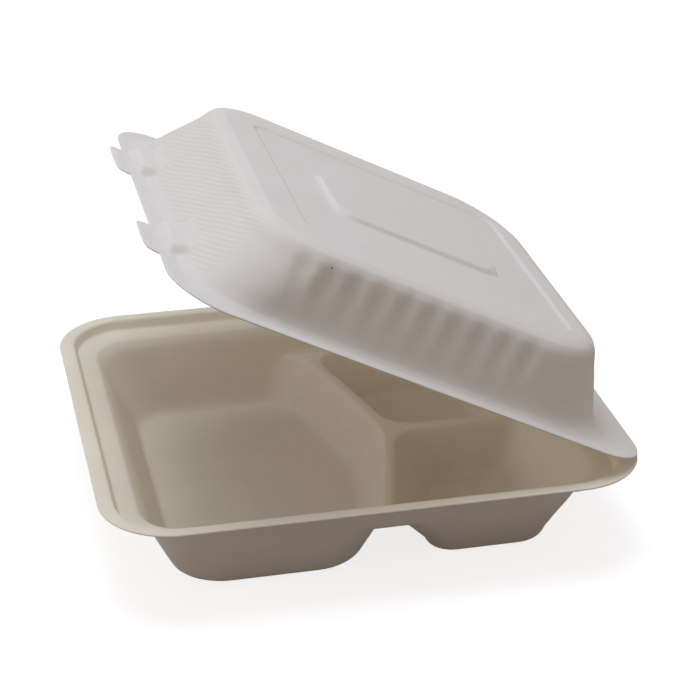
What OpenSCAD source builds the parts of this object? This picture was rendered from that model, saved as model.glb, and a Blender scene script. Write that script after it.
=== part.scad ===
// Hinged food container of moulded plant fibre: a tray with three compartments
// and a lid, pressed as one sheet and bent along one fold.
// Millimetres. The front with the two tabs is -Y, the fold is +Y, up is +Z.
// The origin is the centre of the tray's footprint on the table.

/* [Sheet] */
// Thickness of the moulded sheet
sheet_t = 0.9; // [0.6:0.1:1.4]

/* [Tray rim] */
// Width of the tray over its side rims
tray_w = 230; // [200:1:260]
// Depth of the tray from the front rim to the fold
tray_d = 250; // [220:1:280]
// Height of the tray's rim above the table
tray_h = 46.5; // [40:0.5:60]
// Corner radius of the rim's outer edge
tray_corner_r = 34; // [28:0.5:40]
// Width of the flat rim at the sides
rim_w = 6; // [4:0.5:8]
// Width of the flat rim at the fold
back_rim_w = 9.5; // [6:0.5:12]
// Width of the flat rim at the front
front_rim_w = 7.2; // [5:0.2:9]
// Drop from the rim to the ledge inside it
step_h = 5; // [2:0.5:7]
// Width taken by the slope of that drop
step_run = 2; // [1:0.5:4]
// Width of the ledge inside the rim
ledge_w = 9; // [5:0.5:12]
// Fall of the ledge towards the wall
ledge_fall = 1.8; // [0.5:0.1:3]
// Radius of the rounding from the ledge into the wall
ledge_round = 4; // [2:0.5:6]
// Corner radius of the wall below the ledge
well_corner_r = 19; // [15:0.5:24]

/* [Compartments] */
// Height of the dividers above the table
divider_h = 25; // [20:0.5:32]
// Width of the flat top of the cross divider
divider_w = 5; // [3:0.5:8]
// Width of the flat top of the divider between the two small compartments
stem_w = 7; // [4:0.5:9]
// Place of the cross divider's front edge at mid width, behind the centre
divider_y = 23.3; // [10:0.1:40]
// Angle by which both arms of the cross divider lean forwards
divider_rake = 15; // [0:0.5:20]
// Length over which the cross divider bends at mid width
divider_bend = 12; // [4:1:25]
// Rear corner radius of the large compartment
large_corner_r = 13; // [8:0.5:18]
// Front outer corner radius of a small compartment
small_corner_r = 18; // [10:0.5:22]
// Radius where the two dividers meet
junction_r = 14; // [8:0.5:20]
// Radius where the stem divider meets the back wall
stem_end_r = 8; // [5:0.5:12]
// Lean of the side walls from upright
side_draft = 17; // [10:0.5:30]
// Lean of the front wall from upright
front_draft = 23; // [10:0.5:30]
// Lean of the back wall from upright
back_draft = 26; // [10:0.5:32]
// Lean of the divider's face in the large compartment
large_face_draft = 26; // [15:0.5:40]
// Lean of the divider's face in a small compartment
small_face_draft = 38; // [15:0.5:42]
// Lean of the small compartments' side walls
small_side_draft = 26; // [10:0.5:32]
// Lean of the stem divider's faces
stem_draft = 24; // [10:0.5:35]
// Height of the rounding between a wall and the floor
floor_rise = 5; // [3:0.5:8]
// Width of the rounding between a wall and the floor
floor_run = 6; // [4:0.5:10]

/* [Flutes of the tray's front wall] */
// Most flutes that the wall takes
tray_flutes = 12; // [6:1:14]
// Spacing of the flutes
tray_flute_pitch = 12; // [8:0.5:12]
// Depth of a flute
tray_flute_depth = 1.2; // [0.4:0.1:2]

/* [Lid] */
// Width of the lid over its side rims
lid_w = 215.5; // [208:0.5:240]
// Length of the lid from the fold to its front rim
lid_l = 241.8; // [228:0.2:270]
// Height of the lid over its rim's underside
lid_h = 36.7; // [28:0.1:45]
// Corner radius of the lid's rim
lid_corner_r = 27.5; // [22:0.5:34]
// Radius of the shoulder's front corners
lid_front_corner_r = 34; // [24:0.5:38]
// Radius of the shoulder's back corners
lid_back_corner_r = 39; // [24:0.5:42]
// Width of the lid's flat rim at the sides
lid_rim_w = 5; // [3:0.5:8]
// Width of the lid's flat rim at the front
lid_front_rim_w = 8; // [6:0.5:12]
// Width of the lid's flat rim at the fold
lid_back_rim_w = 17; // [8:0.5:19]
// Width of the rim's sweep up into the side walls
lid_sweep_w = 3.8; // [2:0.2:6]
// Width of the rim's sweep up into the front and back walls
lid_end_sweep_w = 6; // [3:0.5:8]
// Height of the rim's sweep up into the wall
lid_sweep_h = 5; // [3:0.5:7]
// Height over which the shoulder rounds into the top
shoulder_h = 8; // [5:0.5:12]
// Width over which the shoulder rounds into the top
shoulder_w = 9; // [5:0.5:14]
// Distance from the rim's edge to the shoulder at the sides
lid_side_in = 13; // [10:0.5:20]
// Distance from the rim's edge to the shoulder at the front
lid_front_in = 28.5; // [20:0.5:34]
// Distance from the fold to the shoulder at the back
lid_back_in = 31.5; // [26:0.5:38]
// Angle the lid stands open
lid_open = 27; // [0:1:90]
// Gap between the closed lid's rim and the tray's rim
fold_gap = 0.3; // [0.2:0.05:0.6]
// Gap at the fold between the two rims' edges, to each side of it
fold_edge_gap = 0.1; // [0.05:0.05:0.5]

/* [Flutes of the lid's side walls] */
// Most flutes on each side, the last ones round the front corner
lid_flutes = 10; // [4:1:12]
// Spacing of the flutes
lid_flute_pitch = 12.3; // [10:0.1:14]
// Distance from the fold to the rear end of the flutes
lid_flute_back = 71; // [60:0.5:90]
// Depth of a flute
lid_flute_depth = 1.3; // [0.4:0.1:2]

/* [Lid embossing] */
// Depth of the sunk field in the lid's top
field_depth = 1.2; // [0.5:0.1:2]
// Width of the sunk field across the lid
field_w = 138; // [100:1:150]
// Front edge of the sunk field, forward of the centre
field_front = 62; // [50:1:70]
// Back edge of the sunk field, behind the centre
field_back = 75; // [60:1:80]
// Corner radius of the sunk field
field_r = 7; // [4:0.5:12]
// Height of the raised panel above the field
panel_h = 2.2; // [0.8:0.1:3]
// Width of the raised panel across the lid
panel_w = 54; // [40:1:90]
// Front edge of the raised panel, forward of the centre
panel_front = 38; // [20:1:50]
// Back edge of the raised panel, behind the centre
panel_back = 50; // [30:1:65]
// Corner radius of the raised panel
panel_r = 11; // [5:0.5:14]
// Width of the slope at the edge of the field and of the panel
emboss_run = 2; // [1:0.5:4]

/* [Tabs and bosses] */
// Distance of each tab's middle from the lid's centre line
tab_x = 48; // [40:1:52]
// Width of a tab
tab_w = 32; // [20:1:36]
// How far a tab stands out from the rim
tab_l = 7; // [4:0.5:10]
// Height of the boss behind a tab, above the rim
boss_h = 4.2; // [2:0.2:6]
// Length of the boss along the front, from the tab's pointed end
boss_w = 27; // [18:1:29]

/* [Hidden] */

tray_colour = [0.80, 0.77, 0.70];
lid_colour = [0.86, 0.85, 0.84];

corner_segs = 6;       // steps round a corner
top_corner_segs = 4;   // steps round a corner of the embossing
flute_segs = 4;        // steps across one flute

half_w = tray_w / 2;
front_y = -tray_d / 2;
fold_y = tray_d / 2;
tray_back_y = fold_y - fold_edge_gap;
axis_z = tray_h + fold_gap / 2;

// ---------- general shapes ----------

// Value a part t of the way from a to b.
function mix(a, b, t) = a + (b - a) * t;

// Unit normal to the right of a profile step, which is the sheet's underside.
function under(v) = [v[1], -v[0]] / norm(v);

// A profile [inset, height] moved to the sheet's underside.
function underside(p) = [for (i = [0:len(p) - 1])
    let (a = i > 0 ? under(p[i] - p[i - 1]) : [0, -1],
         b = i < len(p) - 1 ? under(p[i + 1] - p[i]) : [0, -1])
    p[i] + (a + b) / (1 + a * b) * sheet_t];

// Horizontal gap between both faces of a wall one sheet lower on the underside.
function under_shift(k) = sheet_t * (k - sqrt(1 + k * k));

// Place along a side as a share of the ring's first or second half side.
function along(v) = (v + 100) / 200;

// Corner of a ring about [cx, cy], heights running from za to zb.
function corner(cx, cy, r, a0, za, zb, side, n) = [for (i = [0:n])
    [cx + r * cos(a0 + 90 * i / n), cy + r * sin(a0 + 90 * i / n),
     mix(za, zb, i / n), side + i / n]];

// Point [x, y, angle] a share t of the way along a front corner of radius r that
// has a straight lead on its side.
function led_corner(hx, y0, r, lead, t) = let (
    run = t * (lead + r * PI / 2) - lead,
    a = max(run, 0) / r * 180 / PI)
    [hx - r + r * cos(a), y0 + r - r * sin(a) + max(-run, 0), a];

// Ring of points [x, y, z, place] round a rounded rectangle, against the clock.
// hx half width, y0 front, y1 back, r radius, zs zb zf heights of the sides,
// back and front, ys xb xf the points on the sides, back and front as
// [value, share of the side], n and nf the steps at the back and front corners,
// fr the radius of the front corners where it differs, and sy where the steps of
// the front corners start on the sides, which may be ahead of the corner's arc.
function ring(hx, y0, y1, r, zs, zb, zf, ys, xb, xf, n = corner_segs, nf = corner_segs,
              fr = undef, sy = undef) = let (
    q = is_undef(fr) ? r : fr,
    lead = is_undef(sy) ? 0 : sy - y0 - q)
    concat([for (y = ys) [hx, y[0], zs, y[1]]],
        corner(hx - r, y1 - r, r, 0, zs, zb, 1, n),
        [for (i = [len(xb) - 1:-1:0]) [xb[i][0], y1, zb, 3 - xb[i][1]]],
        corner(r - hx, y1 - r, r, 90, zb, zs, 3, n),
        [for (i = [len(ys) - 1:-1:0]) [-hx, ys[i][0], zs, 5 - ys[i][1]]],
        [for (i = [0:nf]) let (c = led_corner(hx, y0, q, lead, i / nf))
            [-c[0], c[1], mix(zs, zf, i / nf), 5 + i / nf]],
        [for (x = xf) [x[0], y0, zf, 6 + x[1]]],
        [for (i = [nf:-1:0]) let (c = led_corner(hx, y0, q, lead, i / nf))
            [c[0], c[1], mix(zs, zf, i / nf), 8 - i / nf]]);

// Points on a side with their shares of it, in millimetres or evenly numbered
// beyond the corner's end.
function marks(l) = [for (v = l) [v, along(v)]];
function even_marks(a, b, n) = [for (i = [1:n]) [mix(a, b, i / n), mix(0.01, 0.99, i / n)]];

// Triangles between two closed rings whose points start at p and q. Where their
// points lie side by side, the second ring moves on first if late is set, so that
// both faces of the sheet are creased alike.
function belt(a, b, p, q, late) = let (na = len(a), nb = len(b))
    [for (i = 0, j = 0, s = false; i < na || j < nb;
          s = step_a(a, b, i, j, na, nb, late), i = s ? i + 1 : i, j = s ? j : j + 1)
        step_a(a, b, i, j, na, nb, late)
            ? [p + i, p + (i + 1) % na, q + j % nb]
            : [p + i % na, q + (j + 1) % nb, q + j]];

// True when the first ring moves on next.
function step_a(a, b, i, j, na, nb, late) =
    j >= nb ? true : i >= na ? false
    : late ? place(a, i + 1) < place(b, j + 1) : place(a, i + 1) <= place(b, j + 1);
function place(a, i) = i < len(a) ? a[i][3] : a[0][3] + 8;

// Triangles between two open chains, the first one leading.
function web(a, b, p, q) = let (na = len(a) - 1, nb = len(b) - 1)
    [for (i = 0, j = 0, s = false; i < na || j < nb;
          s = web_a(a, b, i, j, na, nb), i = s ? i + 1 : i, j = s ? j : j + 1)
        web_a(a, b, i, j, na, nb)
            ? [p + i, p + i + 1, q + j]
            : [p + i, q + j + 1, q + j]];
function web_a(a, b, i, j, na, nb) =
    j >= nb ? true : i >= na ? false : a[i + 1][0] >= b[j + 1][0];

// Running sum of the first n list lengths.
function sum_len(l, n, i = 0) = i >= n ? 0 : len(l[i]) + sum_len(l, n, i + 1);

// A patch [points, faces] through rings, closed at an end where asked. The first
// few belts, as many as low says, belong to the underside.
function loft(rings, low, first = false, last = false) = let (
    n = len(rings),
    start = [for (i = [0:n]) sum_len(rings, i)],
    end = rings[n - 1])
    [concat([for (r = rings) for (p = r) [p[0], p[1], p[2]]],
            first ? [centre(rings[0])] : [], last ? [centre(end)] : []),
     concat([for (i = [0:n - 2])
                for (f = belt(rings[i], rings[i + 1], start[i], start[i + 1], i < low)) f],
            first ? [for (i = [0:len(rings[0]) - 1])
                [start[n], (i + 1) % len(rings[0]), i]] : [],
            last ? [for (i = [0:len(end) - 1])
                [start[n] + (first ? 1 : 0), start[n - 1] + i,
                 start[n - 1] + (i + 1) % len(end)]] : [])];

// Middle of a ring.
function centre(r) = let (s = [for (p = r) 1] * [for (p = r) [p[0], p[1], p[2]]])
    s / len(r);

// A patch turned over, mirrored across the centre plane, or both joined.
function flip(p) = [p[0], [for (f = p[1]) [f[2], f[1], f[0]]]];
function mirrored(p) = flip([[for (v = p[0]) [-v[0], v[1], v[2]]], p[1]]);
function join(ps, i = 0) = i == len(ps) - 1 ? ps[i]
    : let (rest = join(ps, i + 1), k = len(ps[i][0]))
        [concat(ps[i][0], rest[0]),
         concat(ps[i][1], [for (f = rest[1]) [f[0] + k, f[1] + k, f[2] + k]])];

// Solid of a closed patch.
module solid(p) {
    polyhedron(points = p[0], faces = flip(p)[1], convexity = 8);
}

// Depth share of a flute at distance v along the wall.
function flute(v, pitch) = (1 - cos(360 * v / pitch)) / 2;

// ---------- tray ----------

side_k = tan(side_draft);
front_k = tan(front_draft);
back_k = tan(back_draft);

// Rim and upper wall as [inset, height], from the outer edge to the dividers'
// height. w is the width of the flat rim and k the wall's slope.
wall_top_z = tray_h - step_h - ledge_fall - ledge_round;
function rim_profile(w, k) = let (
    a = w + step_run, b = a + ledge_w, c = b + ledge_round * 0.7)
    [[0, tray_h], [w, tray_h], [a, tray_h - step_h],
     [mix(a, b, 0.6), tray_h - step_h - ledge_fall * 0.35],
     [b, tray_h - step_h - ledge_fall], [c, wall_top_z],
     [c + k * (wall_top_z - divider_h) / 2, (wall_top_z + divider_h) / 2],
     [c + k * (wall_top_z - divider_h), divider_h]];
well_row = 7;                       // row at the dividers' height
rim_radii = [tray_corner_r, tray_corner_r - rim_w, 24.5, 21, 19,
             well_corner_r, well_corner_r, well_corner_r];
flute_rows = [0, 0, 0, 0, 0, 0, 1, 1];

// Profile of a side with its last row set one sheet under the dividers' top.
function under_rim(p, k) = let (u = underside(p))
    concat([for (i = [0:well_row - 1]) u[i]],
           [[p[well_row][0] + under_shift(k), divider_h - sheet_t]]);

side_rim = rim_profile(rim_w, side_k);
front_rim = rim_profile(front_rim_w, front_k);
back_rim = rim_profile(back_rim_w, back_k);

well_x = half_w - side_rim[well_row][0];
well_front = front_y + front_rim[well_row][0];
well_back = tray_back_y - back_rim[well_row][0];

// Front edge of the cross divider's top across the tray, dy further back.
rake_k = tan(divider_rake);
function divider_edge(x, dy = 0) =
    divider_y + dy + rake_k * (divider_bend - sqrt(x * x + divider_bend * divider_bend));

// Ends of the dividers' tops on the walls.
turn = 90 - divider_rake;
large_end_x = well_x - large_corner_r * (1 - cos(turn));
gap_front_y = divider_edge(large_end_x) - large_corner_r * sin(turn);
gap_back_y = divider_edge(well_x - small_corner_r, divider_w) + small_corner_r * 0.6;
gap_back_x = stem_w / 2 + stem_end_r;

// Places of the rings' points along the sides, the back and the front.
straight_x = well_x - well_corner_r;
side_a = well_front + well_corner_r;
side_b = well_back - well_corner_r;
side_pts = [mix(side_a, gap_front_y, 0.25), mix(side_a, gap_front_y, 0.65), gap_front_y,
            gap_back_y, mix(gap_back_y, side_b, 0.45), mix(gap_back_y, side_b, 0.85)];
back_pts = [for (s = [-1, 1]) for (t = s > 0 ? [0, 0.4, 0.8] : [0.8, 0.4, 0])
    s * mix(gap_back_x, straight_x, t)];
front_pts = [-straight_x * 0.6, 0, straight_x * 0.6];
fitted_flutes = min(tray_flutes, floor(2 * straight_x / tray_flute_pitch));
flute_half = fitted_flutes * tray_flute_pitch / 2;
flute_pts = [for (i = [0:fitted_flutes * flute_segs])
    i * tray_flute_pitch / flute_segs - flute_half];

// Row i of the rim, side, front and back profiles given.
function rim_ring(i, s, f, b) = let (
    fluted = i >= 5,
    r = ring(half_w - s[i][0], front_y + f[i][0], tray_back_y - b[i][0],
             rim_radii[i], s[i][1], b[i][1], f[i][1],
             marks(side_pts), marks(back_pts), marks(fluted ? flute_pts : front_pts)))
    [for (p = r) in_front(p) && fluted
        ? [p[0], p[1] + flute_rows[i] * tray_flute(p[0]), p[2], p[3]] : p];
function in_front(p) = p[3] > 6 && p[3] < 7;
function tray_flute(x) = tray_flute_depth * flute(x + flute_half, tray_flute_pitch);

under_side = under_rim(side_rim, side_k);
under_front = under_rim(front_rim, front_k);
under_back = under_rim(back_rim, back_k);
top_well = rim_ring(well_row, side_rim, front_rim, back_rim);
low_well = rim_ring(well_row, under_side, under_front, under_back);

rim_patch = loft(concat(
    [for (i = [well_row:-1:0]) rim_ring(i, under_side, under_front, under_back)],
    [for (i = [0:well_row]) rim_ring(i, side_rim, front_rim, back_rim)]), well_row);

// Where the rings' parts start.
per_side = len(side_pts);
per_corner = corner_segs + 1;
back_start = per_side + per_corner;
far_start = back_start + len(back_pts) + per_corner;
ring_len = len(top_well);

// Rear edge of the large compartment from the near wall to the far wall, without
// its ends. hx is the wall's place, dy how far the edge lies behind the top's.
function large_rear(hx, dy) = let (
    xe = hx - large_corner_r * (1 - cos(turn)),
    ry = (divider_edge(xe, dy) - gap_front_y) / sin(turn),
    side = concat(
        [for (i = [1:3]) let (a = turn * i / 4)
            [hx - large_corner_r * (1 - cos(a)), gap_front_y + ry * sin(a)]],
        [for (i = [0:4]) let (x = mix(xe, divider_bend, i / 4))
            [x, divider_edge(x, dy)]]))
    concat(side, [[0, divider_edge(0, dy)]],
           [for (i = [len(side) - 1:-1:0]) [-side[i][0], side[i][1]]]);

// Edge of a small compartment along the dividers, from the side wall to the back
// wall without its ends. dx is how far the stem's edge lies from the top's.
function small_edge(hx, yb, dx, dy) = let (
    sx = stem_w / 2 + dx,
    x1 = hx - small_corner_r,
    y1 = divider_edge(x1, divider_w + dy),
    x2 = sx + junction_r,
    y2 = divider_edge(x2, divider_w + dy))
    concat(
        [for (a = [30, 60]) [x1 + small_corner_r * cos(a),
                             gap_back_y - (gap_back_y - y1) * sin(a)]],
        [for (i = [0:3]) let (x = mix(x1, x2, i / 3))
            [x, divider_edge(x, divider_w + dy)]],
        [for (i = [1:4]) let (a = 22.5 * i)
            [x2 - junction_r * sin(a), y2 + junction_r * (1 - cos(a))]],
        [for (y = [mix(y2 + junction_r, yb - stem_end_r, 0.5), yb - stem_end_r])
            [sx, y]],
        [for (a = [30, 60]) [gap_back_x - (gap_back_x - sx) * cos(a),
                             yb - stem_end_r * (1 - sin(a))]]);
small_split = 7;                    // point of the edge at the dividers' meeting

// Outlines of the compartments at a well ring, points [x, y, fluted].
function flag(p) = [p[0], p[1], in_front(p) ? 1 : 0];
function large_outline(well, dy) = concat(
    [for (i = [far_start + 3:ring_len - 1]) flag(well[i])],
    [for (i = [0:2]) flag(well[i])],
    [for (p = large_rear(well[0][0], dy)) [p[0], p[1], 0]]);
function small_outline(well, dx, dy) = let (
    e = small_edge(well[0][0], well[back_start][1], dx, dy))
    concat([for (i = [3:back_start + 2]) let (k = i < back_start ? i : i) [well[k][0],
                well[k][1], 0]],
           [for (i = [len(e) - 1:-1:0]) [e[i][0], e[i][1], 0]]);

// Heights and insets of a compartment's wall and floor for wall slope k, rows
// from the dividers' height down.
floor_z = sheet_t;
function pocket_profile(k) = let (e = k * (divider_h - floor_z - floor_rise))
    [[0, divider_h],
     [k * (divider_h - floor_z - floor_rise) / 2, (divider_h + floor_z + floor_rise) / 2],
     [e, floor_z + floor_rise],
     [e + floor_run * 0.2, floor_z + floor_rise * 0.4],
     [e + floor_run * 0.55, floor_z + floor_rise * 0.09],
     [e + floor_run, floor_z]];
pocket_rows = 6;
flute_fade = [1, 1, 1, 0.4, 0, 0];
function pocket_rows_of(k, low) = low ? underside(pocket_profile(k)) : pocket_profile(k);

// Ring of row i of a compartment. o is its outline at the dividers' height, box
// its [x0, x1, y0, y1] there, and k the slopes of those four walls.
function pocket_ring(i, o, box, k, low) = i == 0
    ? [for (j = [0:len(o) - 1]) [o[j][0], o[j][1],
        low ? divider_h - sheet_t : divider_h, 8 * j / len(o)]]
    : let (p = [for (s = k) pocket_rows_of(s, low)[i]],
           q = [for (s = k) low ? p_shift(s) : 0])
        [for (j = [0:len(o) - 1]) let (
            v = o[j],
            tx = (v[0] - box[0]) / (box[1] - box[0]),
            fl = v[2] * tray_flute(v[0]),
            ty = (v[1] - fl - box[2]) / (box[3] - box[2]))
            [mix(box[0] + p[0][0] - q[0], box[1] - p[1][0] + q[1], tx),
             mix(box[2] + p[2][0] - q[2], box[3] - p[3][0] + q[3], ty)
                + fl * flute_fade[i],
             p[0][1], 8 * j / len(o)]];
function p_shift(k) = under_shift(k);

large_k = [side_k, side_k, front_k, tan(large_face_draft)];
small_k = [tan(stem_draft), tan(small_side_draft), tan(small_face_draft), back_k];

function large_box(well, dy) = [-well[0][0], well[0][0],
    well[ring_len - 2 * per_corner][1], divider_edge(0, dy)];

function large_patch(low) = let (
    well = low ? low_well : top_well,
    dy = low ? -under_shift(large_k[3]) : 0,
    o = large_outline(well, dy),
    hx = well[0][0],
    yf = low ? front_y + under_front[well_row][0] : well_front,
    box = [-hx, hx, yf, divider_edge(0, dy)],
    rings = [for (i = [0:pocket_rows - 1]) pocket_ring(i, o, box, large_k, low)])
    low ? loft([for (i = [pocket_rows - 1:-1:0]) rings[i]], pocket_rows, first = true)
        : loft(rings, 0, last = true);

function small_patch(low) = let (
    well = low ? low_well : top_well,
    dx = low ? under_shift(small_k[0]) : 0,
    dy = low ? under_shift(small_k[2]) : 0,
    o = small_outline(well, dx, dy),
    hx = well[0][0],
    yb = well[back_start][1],
    box = [stem_w / 2 + dx, hx,
           divider_edge(hx - small_corner_r, divider_w + dy), yb],
    rings = [for (i = [0:pocket_rows - 1]) pocket_ring(i, o, box, small_k, low)])
    low ? loft([for (i = [pocket_rows - 1:-1:0]) rings[i]], pocket_rows, first = true)
        : loft(rings, 0, last = true);

// Flat T between the compartments.
function divider_patch(low) = let (
    well = low ? low_well : top_well,
    z = low ? divider_h - sheet_t : divider_h,
    ly = low ? -under_shift(large_k[3]) : 0,
    dx = low ? under_shift(small_k[0]) : 0,
    dy = low ? under_shift(small_k[2]) : 0,
    hx = well[0][0],
    rear = large_rear(hx, ly),
    mid = (len(rear) - 1) / 2,
    a = concat([[hx, gap_front_y, z]], [for (i = [0:mid]) [rear[i][0], rear[i][1], z]]),
    e = small_edge(hx, well[back_start][1], dx, dy),
    s = concat([[hx, gap_back_y, z]], [for (p = e) [p[0], p[1], z]],
               [[gap_back_x, well[back_start][1], z]]),
    b = [for (i = [0:small_split]) s[i]],
    c = [for (i = [small_split:len(s) - 1]) s[i]],
    m = len(c),
    arm = [concat(b, a), web(b, a, 0, len(b))],
    stem = [concat(c, [for (p = c) [-p[0], p[1], z]]),
            [for (i = [0:m - 2]) for (t = [[i, i + 1, m + i], [i + 1, m + i + 1, m + i]]) t]],
    tee = [[a[len(a) - 1], b[small_split], [-b[small_split][0], b[small_split][1], z]],
           [[0, 1, 2]]],
    all = join([arm, mirrored(arm), stem, tee]))
    low ? flip(all) : all;

tray_patch = join([rim_patch,
    large_patch(false), large_patch(true),
    small_patch(false), mirrored(small_patch(false)),
    small_patch(true), mirrored(small_patch(true)),
    divider_patch(false), divider_patch(true)]);

module tray() {
    color(tray_colour) solid(tray_patch);
}

// ---------- lid ----------

lid_half = lid_w / 2;
lid_front_y = fold_y - lid_l;
lid_back_y = fold_y - fold_edge_gap;
lid_top_z = lid_h;
shoulder_z = lid_h - shoulder_h;
wall_foot_z = sheet_t + lid_sweep_h;

// Upper face of the lid as [inset, height] for a flat rim w wide, a sweep v wide
// and a wall whose shoulder starts inset d from the rim's edge.
function lid_profile(w, v, d) = let (a = w + v)
    [[0, sheet_t], [w, sheet_t + lid_sweep_h * 0.05],
     [w + v * 0.68, sheet_t + lid_sweep_h * 0.4],
     [a, wall_foot_z],
     [mix(a, d, 0.34), mix(wall_foot_z, shoulder_z, 0.34)],
     [mix(a, d, 0.68), mix(wall_foot_z, shoulder_z, 0.68)],
     [mix(a, d, 0.93), mix(wall_foot_z, shoulder_z, 0.93)],
     [d + shoulder_w * 0.12, shoulder_z + shoulder_h * 0.4],
     [d + shoulder_w * 0.42, shoulder_z + shoulder_h * 0.8],
     [d + shoulder_w, lid_top_z]];
lid_rows = 10;
// Radii of the rows of a corner whose shoulder has radius r, and how far each row
// has turned from the rim's radius to the shoulder's.
function corner_radii(r, share) = concat([for (s = share) mix(lid_corner_r, r, s)],
    [r - shoulder_w / 3, r - shoulder_w]);
front_radii = corner_radii(lid_front_corner_r, [0, 0.03, 0.1, 0.2, 0.25, 0.75, 1, 1]);
back_radii = corner_radii(lid_back_corner_r, [0, 0.03, 0.17, 0.38, 0.59, 0.79, 1, 1]);
lid_fade = [0, 0, 0, 0, 0, 0.75, 1, 0, 0, 0];
lid_s = lid_profile(lid_rim_w, lid_sweep_w, lid_side_in);
lid_f = lid_profile(lid_front_rim_w, lid_end_sweep_w, lid_front_in);
lid_b = lid_profile(lid_back_rim_w, lid_end_sweep_w, lid_back_in);
lid_g = boss_profile(lid_f);

// Front profile behind a tab: the same wall with the boss at its foot.
function boss_profile(p) = let (a = lid_front_rim_w * 0.4, b = a + boss_h * 0.5)
    [p[0], [a, sheet_t], [b, sheet_t + boss_h],
     [mix(b, p[4][0], 0.6), sheet_t + boss_h * 1.3],
     p[4], p[5], p[6], p[7], p[8], p[9]];

// Straight part of the lid's side walls, and the flutes' rear end.
corner_gap = sheet_t;              // keeps both faces' points off the corners
lid_side_a = lid_front_y + lid_f[7][0] + front_radii[7] + corner_gap;
lid_side_b = lid_back_y - lid_b[7][0] - back_radii[7] - corner_gap;
lid_flute_end = min(fold_y - lid_flute_back, lid_side_b);
lid_side_pts = [for (t = [0.02, 0.5, 0.95]) [mix(lid_side_a, lid_side_b, t), t]];
lid_straight_x = lid_half - lid_side_in - max(lid_front_corner_r, lid_back_corner_r);
lid_back_pts = marks([-lid_straight_x * 0.6, lid_straight_x * 0.6]);

// Flutes counted in steps from their rear end, along the side and round the corner.
flute_step = lid_flute_pitch / flute_segs;
lid_side_steps = floor((lid_flute_end - lid_side_a) / flute_step);
lid_corner_steps = round(lid_front_corner_r * PI / 2 / flute_step);
fitted_lid_flutes = min(lid_flutes,
    floor((lid_side_steps + lid_corner_steps - 2) / flute_segs));

// Places of the points along the front of one tab from its pointed end, as
// [offset from the tab's middle, share of the tab's length, share of the boss].
tab_half = tab_w / 2;
boss_end = boss_w - tab_half;
boss_slope = 3.4;                   // run of the boss's end beyond the tab
tab_steps = [[-tab_half - boss_slope, 0, 0], [-tab_half - 0.4, 0, 0.75],
             [-tab_half, 0.92, 0.85], [-tab_half + 0.6, 0.93, 1],
             [-tab_half * 0.5, 1, 1], [tab_half * 0.25, 0.97, 1],
             [boss_end - 1.8, 0.92, 1], [boss_end + 2.2, 0.8, 0],
             [tab_half - 1, 0.42, 0], [tab_half - 0.3, 0, 0]];
function tab_at(x) = [for (s = tab_steps) [s[0] + x, s[1], s[2]]];
tab_room = lid_half - lid_s[4][0] - front_radii[4] - tab_half - boss_slope - corner_gap;
fitted_tab_x = min(tab_x, tab_room);
lid_front_steps = concat(tab_at(-fitted_tab_x), [[0, 0, 0]], tab_at(fitted_tab_x));
lid_front_pts = marks([for (s = lid_front_steps) s[0]]);
plain_front_pts = lid_back_pts;

// Row i of the lid from the profiles of the sides, front, bosses and back.
function lid_ring(i, s, f, g, b) = let (
    fluted = i >= 4 && i <= 7,
    tabbed = i <= 4,
    r = ring(lid_half - s[i][0], lid_front_y + f[i][0], lid_back_y - b[i][0],
             back_radii[i], s[i][1], b[i][1], f[i][1],
             fluted ? even_marks(lid_side_a, lid_flute_end, lid_side_steps)
                 : lid_side_pts,
             lid_back_pts, tabbed ? lid_front_pts : plain_front_pts,
             corner_segs, lid_corner_steps, front_radii[i], lid_side_a))
    [for (p = r) in_front(p) && tabbed ? front_point(p, i, f, g)
        : fluted ? fluted_point(p, lid_fade[i] * lid_flute_depth, front_radii[i],
            lid_side_a - lid_front_y - f[i][0] - front_radii[i]) : p];

// Point p of a ring pressed in by up to d where a flute passes it. r is the radius
// of the ring's front corner and lead its straight lead. v counts the steps from the
// flutes' rear end and a is the wall's direction.
function fluted_point(p, d, r, lead) = let (
    u = p[3],
    near = u < 1 || u > 7,
    side = u < 1 || (u > 4 && u < 5),
    front = u >= 7 ? 8 - u : u >= 5 && u <= 6 ? u - 5 : -1,
    v = side ? (1 - ((near ? u : 5 - u) - 0.01) / 0.98) * lid_side_steps
        : lid_side_steps + front * lid_corner_steps,
    a = side || front < 0 ? 0 : led_corner(0, 0, r, lead, front)[2],
    k = (side || front >= 0) && v <= fitted_lid_flutes * flute_segs
        ? d * flute(v, flute_segs) : 0)
    [p[0] - (near ? 1 : -1) * k * cos(a), p[1] + k * sin(a), p[2], u];
function front_point(p, i, f, g) = let (
    s = [for (t = lid_front_steps) if (t[0] == p[0]) t][0])
    [p[0], lid_front_y + mix(f[i][0], g[i][0], s[2]) - (i == 0 ? s[1] * tab_l : 0),
     mix(f[i][1], g[i][1], s[2]), p[3]];

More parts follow.
